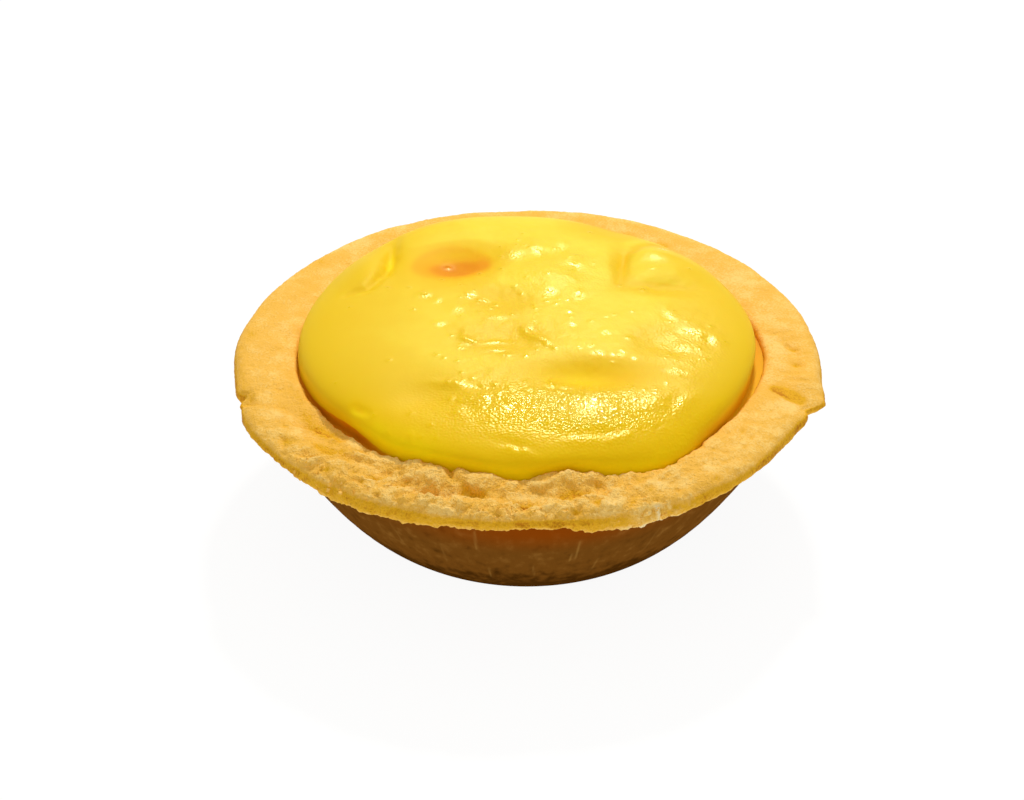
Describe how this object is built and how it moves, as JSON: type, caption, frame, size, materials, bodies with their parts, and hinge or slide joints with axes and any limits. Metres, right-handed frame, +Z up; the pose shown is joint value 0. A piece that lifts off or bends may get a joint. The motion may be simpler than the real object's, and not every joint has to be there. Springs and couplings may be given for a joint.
{
  "type": "egg tart",
  "caption": "Round egg tart: a puffed glossy yellow custard in a wide-rimmed shortcrust shell, standing in a thin brown metal tart tin.",
  "frame": {"origin": "centre of the box round the tart, on the surface it stands on", "axes": "+Z up out of the custard; the front of the tart faces -Y and +X is its right side"},
  "size_m": [0.0798, 0.0792, 0.0291],
  "materials": {
    "tin": "thin pressed metal with a dull bronze-brown bake, fine vertical draw lines",
    "pastry": "matt golden shortcrust, crumbly and pitted, browner at its low edge",
    "custard": "soft glossy egg-yellow custard skin with one browned blister"
  },
  "bodies": {
    "root": {"tart_tin": "tin", "pastry_shell": "pastry", "custard": "custard"}
  },
  "joints": []
}
